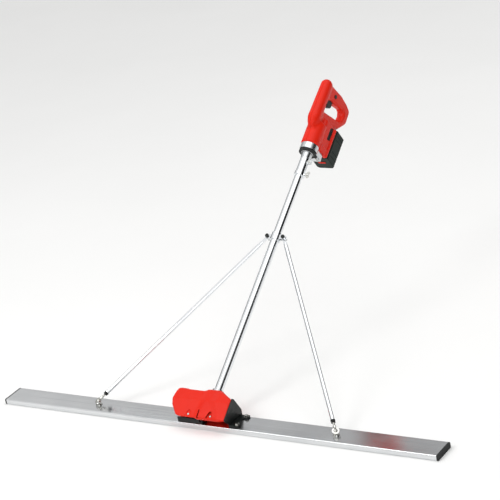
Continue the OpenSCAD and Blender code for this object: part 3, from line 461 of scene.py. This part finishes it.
# The red shells of the power head. Heights are from the shells' lower end, outlines are (n, height),
# and the inside's rooms are (radius or half width, from, to).
head = {
    "step": 1.25, "wall": 3, "parting": 0.1, "pastMiddle": 2.5, "pastShoe": 3, "gridN": (-66, 155),
    "gridS": (-3, 287),
    "barrelRadius": 36, "barrelN": -3, "barrelTop": 98, "barrelRound": 7,
    "columnN": -40, "columnTop": 255,
    "columnRadii": [(66, 10), (84, 20), (100, 25), (112, 26), (128, 25.2), (255, 22.6)],
    "bodyHalf": 31, "bodyFrom": 2, "bodyTop": 128, "bodyRound": 10, "bodyEndRound": 6,
    "collarHalf": 33, "collarFrom": 14, "collarTop": 27, "collarRound": 8, "collarEndRound": 1.5,
    "shoeHalf": 36, "shoeDepth": 9, "shoeSpan": (2, 127), "shoeRound": 1.5, "shoeOverRail": 7,
    "gripHalf": 18, "gripRound": 11.5, "gripBlur": 6,
    "columnFillet": 16, "bodyFillet": 3, "collarFillet": 1.5, "handleFillet": 9, "shoeFillet": 2,
    "handle": [(-42, 90), (-42, 264), (-20, 268), (10, 271), (60, 277), (110, 273), (140, 265), (149, 256),
               (152, 207), (146, 197), (112, 153), (80, 133), (40, 110), (20, 90)],
    "opening": [(-16, 151), (-18, 177), (-8, 207), (6, 215), (50, 222), (96, 235), (110, 231),
                (116, 219), (112, 197), (98, 183), (60, 173), (20, 161)],
    "motorRoom": (25, -5, 96), "tongueRoom": (20.3, -4, 123), "tongueDepth": (7.3, 3),
    "triggerHalf": 8.6, "triggerBelow": (3, 8), "triggerAbove": (4, 12),
    "windowSlant": 7, "windowBlur": 3, "windowX": (4, 40), "buttonX": (8, 40), "buttonGap": 0.4,
}


def headField(x, n, s, shoeN):
    # the head's outside: a round barrel, a column whose radius follows its height up to a ball end, a
    # rounded body with a collar and the battery's shoe, and the D-handle's outline given a rounded
    # thickness, all joined with fillets
    fromColumn = np.hypot(x, n - head["columnN"])
    barrel = meet(np.hypot(x, n - head["barrelN"]) - head["barrelRadius"], span(s, 0, head["barrelTop"]),
                  head["barrelRound"])
    heights, radii = zip(*head["columnRadii"])
    column = fromColumn - np.interp(s, heights, radii)
    top = np.hypot(fromColumn, np.maximum(s - head["columnTop"], 0)) - radii[-1]
    column = np.where(s > head["columnTop"], top, np.maximum(column, heights[0] - s))
    body = meet(span(x, -head["bodyHalf"], head["bodyHalf"]), span(n, head["bodyFrom"], shoeN),
                head["bodyRound"])
    body = meet(body, span(s, 0, head["bodyTop"]), head["bodyEndRound"])
    collar = meet(span(x, -head["collarHalf"], head["collarHalf"]), span(n, head["collarFrom"], shoeN),
                  head["collarRound"])
    collar = meet(collar, span(s, 0, head["collarTop"]), head["collarEndRound"])
    shoe = boxField(x, n, s, (-head["shoeHalf"], shoeN - head["shoeDepth"], head["shoeSpan"][0]),
                    (head["shoeHalf"], shoeN, head["shoeSpan"][1]), head["shoeRound"])
    flat = np.maximum(polygonDistance(n[0], s[0], head["handle"]),
                      -polygonDistance(n[0], s[0], head["opening"]))
    loop = meet(blur(flat, head["gripBlur"])[None], np.abs(x) - head["gripHalf"], head["gripRound"])
    solid = join(join(barrel, column, head["columnFillet"]), body, head["bodyFillet"])
    solid = join(solid, collar, head["collarFillet"])
    solid = join(solid, loop, head["handleFillet"])
    return join(solid, shoe, head["shoeFillet"])


def makeHeadShells():
    # each half is the head's outside less the same shape shrunk by the wall, less the rooms for what it
    # holds, cut off at the middle
    base = poleBox("head_shell_right")[0][2]
    shoeN = poleBox("battery_case")[0][1] + head["shoeOverRail"]
    inside = ("trigger", "lock_button", "vent_grilles", "motor_stator")
    trigger, button, grille, motor = (poleBox(node) for node in inside)
    motorN = (motor[0][1] + motor[1][1]) / 2
    middle = (button[0] + button[1]) / 2
    buttonRadius = (button[1][2] - button[0][2]) / 2 + head["buttonGap"]
    reach, past = head["shoeHalf"] + head["pastShoe"], head["pastMiddle"]
    for side, name in ((-1, "left"), (1, "right")):
        corner = (-reach if side < 0 else -past, head["gridN"][0], head["gridS"][0])
        far = (past if side < 0 else reach, head["gridN"][1], head["gridS"][1])
        x, n, s = gridOf(corner, far, head["step"])
        outer = headField(x, n, s, shoeN)
        field = np.maximum(outer, -(outer + head["wall"]))
        # room for the motor
        radius, roomLow, roomHigh = head["motorRoom"]
        field = cut(field, meet(np.hypot(x, n - motorN) - radius, span(s, roomLow, roomHigh), 1))
        # for the trigger with its travel
        (underN, underS), (overN, overS) = head["triggerBelow"], head["triggerAbove"]
        lowest = (-head["triggerHalf"], trigger[0][1] - underN, trigger[0][2] - base - underS)
        highest = (head["triggerHalf"], trigger[1][1] + overN, trigger[1][2] - base + overS)
        field = cut(field, boxField(x, n, s, lowest, highest, 1))
        # for the slanted side window's grille
        slant = head["windowSlant"]
        (nearN, lowS), (farN, highS) = grille[0][1:], grille[1][1:]
        window = polygonDistance(n[0], s[0], [(nearN, lowS - base), (farN, lowS - base + slant),
                                              (farN, highS - base), (nearN, highS - base - slant)])
        window = blur(window, head["windowBlur"])[None]
        field = cut(field, meet(window, span(side * x, *head["windowX"]), 1))
        # for the battery's tongue
        half, roomLow, roomHigh = head["tongueRoom"]
        field = cut(field, boxField(x, n, s, (-half, shoeN - head["tongueDepth"][0], roomLow),
                                    (half, shoeN + head["tongueDepth"][1], roomHigh), 0.5))
        if side > 0:
            hole = np.hypot(n - middle[1], s - (middle[2] - base)) - buttonRadius
            field = cut(field, meet(hole, span(x, *head["buttonX"]), 0.3))
        field = np.maximum(field, head["parting"] - side * x)
        points, faces = skinOf(field, corner, head["step"])
        points[:, 2] += base
        makePiece("red_head_shell_" + name, fromPole(points), faces, "power_head", "red_plastic",
                  ["head_shell_" + name])


makeHeadShells()
print("head shells made")

# The red shells of the exciter's cover. The outline is (x, s) and the side's outline is (n, s).
cover = {
    "step": 1.25, "wall": 3, "split": 6, "parting": 0.1, "pastSplit": 2.5,
    "gridX": (-158, 94), "gridN": (-46, 42), "gridS": (-4, 136),
    "outline": [(-106, 8), (-122, 18), (-148, 54), (-154, 75), (-152, 108), (-146, 125), (-140, 130),
                (-114, 130), (-106, 124), (-24, 124), (-14, 131), (32, 131), (44, 122), (62, 112),
                (90, 96), (90, 9)],
    "front": [(-14, 132), (-30, 120), (-38.5, 80), (-32.5, 14), (-30, 10.5)], "underside": (18, 37.5),
    "back": 38, "backTop": (118, 132), "backChamfer": 8, "lift": 4.5, "frontY": -59,
    "outlineBlur": 4, "sideBlur": 3, "edgeRound": 7,
    "domeX": ((20, 90), (10, -1)), "domeRadii": ((20, 60, 118, 128), (50, 43, 38, 36)),
    "domeSpan": (12, 131), "domeProud": 4, "domeFillet": 12,
    "poleHole": (22.3, 90, 150), "bossHole": (22.4, 80, 100),
    "pocket": [(-15, -10), (15, -9), (4, 15), (-4, 15)], "pocketFloor": -31, "pocketWall": 3, "padBehind": 1,
    "pocketBlur": 3,
    "slotX": (-25.5, -20.5), "slotN": (-60, -29), "slotS": (-20, 42), "slotRound": 2,
    "grooveHalf": 0.8, "grooveDepth": 1.1, "bracketGap": 0.3, "boltRoom": 13.3,
}


def coverField(x, n, s, face, profile):
    # the outline and the side's outline meet in a rounded edge, joined by the round bulge over the
    # pole's socket, which runs down the face and widens to the right
    outer = meet(face, profile, cover["edgeRound"])
    dome = np.hypot(x - np.interp(s, *cover["domeX"]), n) - np.interp(s, *cover["domeRadii"])
    dome = meet(dome, span(s, *cover["domeSpan"]), cover["edgeRound"])
    dome = np.maximum(dome, profile - cover["domeProud"])
    return join(outer, dome, cover["domeFillet"])


def makeCoverShells():
    # each half is the cover's outside less the same shape shrunk by the wall, with its pockets, slot and
    # rooms, cut off at the parting line
    back, split = cover["back"], cover["split"]
    backLow = (back * math.sin(lean) + cover["lift"]) / math.cos(lean)
    side = cover["front"] + [cover["underside"], (back, backLow), (back, cover["backTop"][0]),
                             (back - cover["backChamfer"], cover["backTop"][1])]
    screwLow, screwHigh = poleBox("cover_screws")
    screwS, screwR = (screwLow[2] + screwHigh[2]) / 2, (screwHigh[2] - screwLow[2]) / 2
    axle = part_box("exciter_shaft")
    axleY, axleZ = (axle[0].y + axle[1].y) / 2 / mm, (axle[0].z + axle[1].z) / 2 / mm
    bracket = [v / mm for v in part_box("left_bracket")]
    halves = (("front", cover["gridN"][0], split + cover["pastSplit"]),
              ("rear", split - cover["pastSplit"], cover["gridN"][1]))
    for name, nLow, nHigh in halves:
        corner = (cover["gridX"][0], nLow, cover["gridS"][0])
        x, n, s = gridOf(corner, (cover["gridX"][1], nHigh, cover["gridS"][1]), cover["step"])
        acrossX, alongS = np.broadcast_arrays(x[:, :, 0], s[0, 0][None, :])
        face = blur(polygonDistance(acrossX, alongS, cover["outline"]), cover["outlineBlur"])[:, None, :]
        profile = blur(polygonDistance(n[0], s[0], side), cover["sideBlur"])[None]
        worldY = n * poleBack.y + s * poleUp.y + poleFoot.y / mm
        worldZ = n * poleBack.z + s * poleUp.z + poleFoot.z / mm
        outer = np.maximum(np.maximum(coverField(x, n, s, face, profile), face), cover["frontY"] - worldY)
        field = np.maximum(outer, -(outer + cover["wall"]))
        radius, low, high = cover["poleHole"]
        field = cut(field, meet(np.hypot(x, n) - radius, span(s, low, high), 0.3))
        # a pocket with a floor for each screw
        floor = cover["pocketFloor"]
        for middle in (screwLow[0] + screwR, screwHigh[0] - screwR):
            corners = [(middle + a, screwS + b) for a, b in cover["pocket"]]
            pocket = blur(polygonDistance(acrossX, alongS, corners), cover["pocketBlur"])[:, None, :]
            pad = meet(pocket - cover["pocketWall"],
                       span(n, floor - cover["padBehind"], floor + cover["pocketWall"]), 1)
            field = np.minimum(field, np.maximum(pad, outer))
            field = cut(field, meet(pocket, n - floor, 1), 2)
        # the upright slot between the screws
        lows, highs = zip(cover["slotX"], cover["slotN"], cover["slotS"])
        field = cut(field, boxField(x, n, s, lows, highs, cover["slotRound"]), 1)
        # the groove of the parting line
        groove = np.maximum(np.abs(n - split) - cover["grooveHalf"], -(outer + cover["grooveDepth"]))
        field = cut(field, groove, 0.4)
        # room for the bracket and its bolts under the left half, and for the axle's boss
        gap = cover["bracketGap"]
        room = np.maximum(np.maximum(span(x, bracket[0].x - gap, bracket[1].x + gap),
                                     span(worldY, bracket[0].y - gap, bracket[1].y + gap)),
                          worldZ - bladeTop / mm - cover["boltRoom"])
        field = np.maximum(field, -room)
        radius, low, high = cover["bossHole"]
        boss = np.hypot(worldY - axleY, worldZ - axleZ) - radius
        field = cut(field, meet(boss, span(x, low, high), 0.3))
        half = n - split + cover["parting"] if name == "front" else split + cover["parting"] - n
        field = np.maximum(field, half)
        points, faces = skinOf(field, corner, cover["step"])
        makePiece("red_cover_" + name, fromPole(points), faces, "blade", "red_plastic", ["cover_" + name])


makeCoverShells()
print("exciter cover made")

# The battery's case. Grooves round it are at heights above its lower end.
battery = {"step": 1.25, "wall": 2.5, "margin": 2.5, "round": 2.5, "chamfer": 9, "railChamfer": 4,
           "grooves": (20, 40, 92, 108), "grooveDepth": 1.6, "grooveHalf": 1.4, "grooveFrom": 12,
           "faceLine": 60, "lineHalf": 0.7, "lineDepth": 1,
           "railHeight": 7, "railGap": 0.3, "railHalf": 20, "railEnds": (4, 10), "railRoot": 2,
           "latchHalfX": 15.6, "latchHalfN": 4.6, "latchDepth": 8, "latchOut": 4}


def makeBattery():
    # a rounded box with chamfered long edges and a rail, less the same box shrunk by the wall
    low, high = poleBox("battery_case")
    latchLow, latchHigh = poleBox("battery_latch")
    latchN = (latchLow[1] + latchHigh[1]) / 2
    corner = tuple(low - battery["margin"])
    x, n, s = gridOf(corner, tuple(high + battery["margin"]), battery["step"])
    bodyN = low[1] + battery["railHeight"] + battery["railGap"]
    body = boxField(x, n, s, (low[0], bodyN, low[2]), high, battery["round"])
    # the two long chamfers on the face away from the pole, and smaller ones beside the rail
    outerCorner = (np.abs(x) - high[0] + n - high[1] + battery["chamfer"]) / math.sqrt(2)
    railCorner = (np.abs(x) - high[0] - n + bodyN + battery["railChamfer"]) / math.sqrt(2)
    body = meet(meet(body, outerCorner, battery["round"]), railCorner, battery["round"])
    hollow = body + battery["wall"]
    for place in battery["grooves"]:
        ring = np.maximum(np.abs(s - low[2] - place) - battery["grooveHalf"],
                          bodyN + battery["grooveFrom"] - n)
        body = cut(body, np.maximum(ring, -(body + battery["grooveDepth"])), 1)
    line = np.abs(n - bodyN - battery["faceLine"]) - battery["lineHalf"]
    body = cut(body, np.maximum(line, -(body + battery["lineDepth"])), 0.6)
    rail = boxField(x, n, s, (-battery["railHalf"], low[1], low[2] + battery["railEnds"][0]),
                    (battery["railHalf"], bodyN + battery["railRoot"], high[2] - battery["railEnds"][1]), 1)
    field = np.maximum(join(body, rail, 1.5), -hollow)
    halfX, halfN = battery["latchHalfX"], battery["latchHalfN"]
    field = cut(field, boxField(x, n, s, (-halfX, latchN - halfN, low[2] - battery["latchOut"]),
                                (halfX, latchN + halfN, low[2] + battery["latchDepth"]), 0.5), 0.5)
    points, faces = skinOf(field, corner, battery["step"])
    makePiece("dark_battery_case", fromPole(points), faces, "battery", "battery_plastic", ["battery_case"])


makeBattery()
print("battery made")


def surfaceFrom(a, b, c):
    # joins rows of points that run round a centre line into quads
    count, turns = a.shape
    points = np.stack([a, b, c], -1).reshape(-1, 3)
    row, turn = np.meshgrid(np.arange(count - 1), np.arange(turns), indexing="ij")
    after = (turn + 1) % turns
    corners = [row * turns + turn, row * turns + after, (row + 1) * turns + after, (row + 1) * turns + turn]
    return points, np.stack(corners, -1).reshape(-1, 4)


def turnedSurface(rows, turns):
    # rows of (radius, height) carried round a centre line: a point is radius times the cosine and sine
    # of its angle, at the row's height
    angle = np.linspace(0, 2 * math.pi, turns, endpoint=False)
    radius, height = (values[:, None] for values in np.array(rows, float).T)
    return surfaceFrom(radius * np.cos(angle), radius * np.sin(angle), height + 0 * angle)


def gather(parts):
    # several (points, faces) pairs as one
    starts = np.cumsum([0] + [len(points) for points, _ in parts[:-1]])
    return (np.concatenate([points for points, _ in parts]),
            np.concatenate([faces + start for (_, faces), start in zip(parts, starts)]))


# Button heads with a round socket, in the cover's pockets; heights are above the pocket's floor.
coverScrew = {"turns": 72, "centre": 0.01, "socketFloor": 1.1, "socketFoot": 1.45, "headTop": 2.5,
              "crown": [(1.5, 2.45), (2.2, 2.5), (3.2, 2.2), (4.0, 1.5)], "rim": (0.5, 0.1), "rimBevel": 0.1,
              "shankRadius": 2.1, "shankEnd": -11}


def makeCoverScrews():
    # both screws are the turned profile stood on end, facing out of the cover
    low, high = poleBox("cover_screws")
    radius = (high[2] - low[2]) / 2
    centre, floor, shank = coverScrew["centre"], coverScrew["socketFloor"], coverScrew["shankRadius"]
    rows = [(centre, floor), (coverScrew["socketFoot"], floor), *coverScrew["crown"],
            *[(radius, height) for height in coverScrew["rim"]], (radius - coverScrew["rimBevel"], 0),
            (shank, 0), (shank, coverScrew["shankEnd"]), (centre, coverScrew["shankEnd"])]
    across, faces = turnedSurface(rows, coverScrew["turns"])
    screws = []
    for x in (low[0] + radius, high[0] - radius):
        points = np.stack([across[:, 0] + x, low[1] + coverScrew["headTop"] - across[:, 2],
                           across[:, 1] + (low[2] + high[2]) / 2], -1)
        screws.append((points, faces[:, ::-1]))
    points, faces = gather(screws)
    makePiece("socket_screws", fromPole(points), faces, "blade", "bright_steel", ["cover_screws"])


# Distances along each rod start `belowTop` under its foot ball's top.
thread = {"pitch": 1.25, "low": 4.05, "high": 4.4, "from": 22, "to": 34, "turns": 48, "rows": 150,
          "belowTop": 7}


def makeThreads():
    # rolled thread on the bare length of each strut rod: the radius follows a triangle wave of the height
    # less the turn, so that the crests climb one pitch a turn
    for name in ("left", "right"):
        up = np.array(joints[name + "_strut_turn"]["axis"])
        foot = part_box("foot_ball_" + name)
        centre = np.array([(foot[0].x + foot[1].x) / 2, (foot[0].y + foot[1].y) / 2,
                           foot[1].z - thread["belowTop"] * mm])
        across = np.cross(up, (0, 0, 1))
        across /= np.linalg.norm(across)
        angle = np.linspace(0, 2 * math.pi, thread["turns"], endpoint=False)
        height = np.linspace(thread["from"], thread["to"], thread["rows"])[:, None] + 0 * angle
        wave = np.abs(2 * ((height / thread["pitch"] - angle / (2 * math.pi)) % 1) - 1)
        radius = thread["low"] + (thread["high"] - thread["low"]) * wave
        points, faces = surfaceFrom(radius * np.cos(angle), radius * np.sin(angle), height)
        points = centre + mm * points @ np.array([across, np.cross(up, across), up])
        makePiece("rolled_thread_" + name, points, faces, "blade", "bright_steel")


nose = {"turns": 96, "bore": 10, "tip": 18.5, "tipBevel": 0.5, "neck": 21.8, "seat": 23, "seatHeight": 5,
        "seatBevel": 0.8, "sealHeight": 4, "sealChamfer": (1.2, 1)}


def makeNose():
    # the turned nose of the gearcase and, against its ring, a black seal
    low, high = poleBox("gearcase_nose")
    tall, wide, seat = high[2] - low[2], high[0], nose["seat"]
    noseRows = [(nose["bore"], tall), (nose["bore"], 0), (nose["tip"], 0),
                (nose["tip"] + nose["tipBevel"], nose["tipBevel"]), (nose["neck"], tall - nose["seatHeight"]),
                (seat, tall - nose["seatHeight"] + nose["seatBevel"]), (seat, tall)]
    sealFrom, (chamferIn, chamferUp) = tall - nose["sealHeight"], nose["sealChamfer"]
    sealRows = [(seat, sealFrom), (wide - chamferIn, sealFrom), (wide, sealFrom + chamferUp), (wide, tall),
                (seat, tall)]
    for name, rows, slotName, replaced in (("turned_nose", noseRows, "cast_alloy", ["gearcase_nose"]),
                                           ("black_seal", sealRows, "black_rubber", [])):
        points, faces = turnedSurface(rows, nose["turns"])
        points = fromPole(points + (0, 0, low[2]))
        makePiece(name, points, faces, "power_head", slotName, replaced, smooth=False)


makeCoverScrews()
makeThreads()
makeNose()
print("screws and threads made")

# Bevels on the plain CAD parts, by width in millimetres.
softEdges = {
    1.6: ["trigger"],
    1.0: ["right_bracket"],
    0.9: ["gearcase_body", "lock_button"],
    0.8: ["left_bracket", "blade_plug_left", "blade_plug_right", "battery_latch"],
    0.7: ["strut_collar_front", "strut_collar_rear", "sleeve_ring", "strut_tab_left", "strut_tab_right"],
    0.6: ["pole_sleeve"],
    0.5: ["collar_bolts", "lock_nuts", "thumb_screw", "bracket_bolts", "strut_rod_left", "strut_rod_right"],
    0.4: ["bracket_screws", "foot_bolts", "sleeve_bolt", "gearcase_screws"],
}
sharpFrom = 32  # degrees between two faces
for width, names in softEdges.items():
    for name in names:
        bevel = frame["nodes"][name].modifiers.new("soft edges", "BEVEL")
        bevel.width = width * mm
        bevel.segments = 2
        bevel.limit_method = "ANGLE"
        bevel.angle_limit = math.radians(sharpFrom)
print("edges softened")

# The studio: brightness low down and high up in the sky and of its darker parts, and the softboxes
# with their place, what they point at, size in metres and power in watts.
stage = {"sky": (0.74, 0.96), "rightSide": 0.015, "leftSide": 0.12, "behind": 0.4, "floorReach": 40}
softboxes = {
    "key_softbox": {"place": (-2.2, -3.2, 4.6), "aim": (0, 0.3, 0.4), "size": 2.2, "power": 80},
    "top_softbox": {"place": (0.6, 0.8, 5.2), "aim": (0, 0.4, 0), "size": 4.5, "power": 70},
    "front_softbox": {"place": (3.4, -4.2, 2.8), "aim": (0, 0.5, 0.5), "size": 2.2, "power": 30},
}


def makeFloor():
    # a pale studio floor, matte, with only a faint unevenness
    material, tree, shader, place = startMaterial("pale_studio_floor", {"Roughness": 0.85})
    cloud = noiseOf(tree, place, size=900, detail=3)
    tree.links.new(mixOf(tree, cloud, "#f1f1f0", "#f7f7f6"), shader.inputs["Base Color"])
    mesh = bpy.data.meshes.new("floor")
    reach = stage["floorReach"]
    corners = [(-reach, -reach, 0), (reach, -reach, 0), (reach, reach, 0), (-reach, reach, 0)]
    mesh.from_pydata(corners, [], [(0, 1, 2, 3)])
    mesh.materials.append(material)
    floor = bpy.data.objects.new("floor", mesh)
    bpy.context.scene.collection.objects.link(floor)


def makeSoftbox(name, place, aim, size, power):
    # a square lamp turned to face its aim
    data = bpy.data.lights.new(name, "AREA")
    data.shape = "RECTANGLE"
    data.size = data.size_y = size
    data.energy = power
    lamp = bpy.data.objects.new(name, data)
    lamp.location = place
    lamp.rotation_mode = "QUATERNION"
    lamp.rotation_quaternion = (Vector(aim) - Vector(place)).to_track_quat("-Z", "Y")
    bpy.context.scene.collection.objects.link(lamp)


def productOf(tree, values):
    # the product of several outputs
    total = values[0]
    for value in values[1:]:
        total = mathOf(tree, "MULTIPLY", total, value)
    return total


def makeWorld():
    # an even sky that fades towards the horizon, with a dark side to the right and a low dark band
    # behind that lightens to the left, so that polished metal shows its shape
    world = bpy.data.worlds.new("studio")
    bpy.context.scene.world = world
    world.use_nodes = True
    tree = world.node_tree
    tree.nodes.clear()
    place = addNode(tree, "ShaderNodeTexCoord")
    parts = addNode(tree, "ShaderNodeSeparateXYZ", links={0: place.outputs["Generated"]})
    east, north, height = parts.outputs
    band = productOf(tree, [rangeOf(tree, east, (-0.64, -0.38), (0, 1)),
                            rangeOf(tree, north, (0.3, 0.6), (0, 1)),
                            rangeOf(tree, height, (0.5, 0.7), (1, 0))])
    tone = productOf(tree, [rangeOf(tree, height, (0.45, 0.8), stage["sky"]),
                            rangeOf(tree, east, (0.66, 0.84), (1, stage["rightSide"])),
                            rangeOf(tree, east, (-0.94, -0.82), (stage["leftSide"], 1)),
                            rangeOf(tree, band, (0, 1), (1, stage["behind"]))])
    back = addNode(tree, "ShaderNodeBackground", {"Strength": 1.0}, {"Color": tone})
    addNode(tree, "ShaderNodeOutputWorld", links={"Surface": back.outputs[0]})


makeFloor()
makeWorld()
for name, softbox in softboxes.items():
    makeSoftbox(name, **softbox)
bpy.context.scene.view_settings.view_transform = "Standard"
print("stage made")
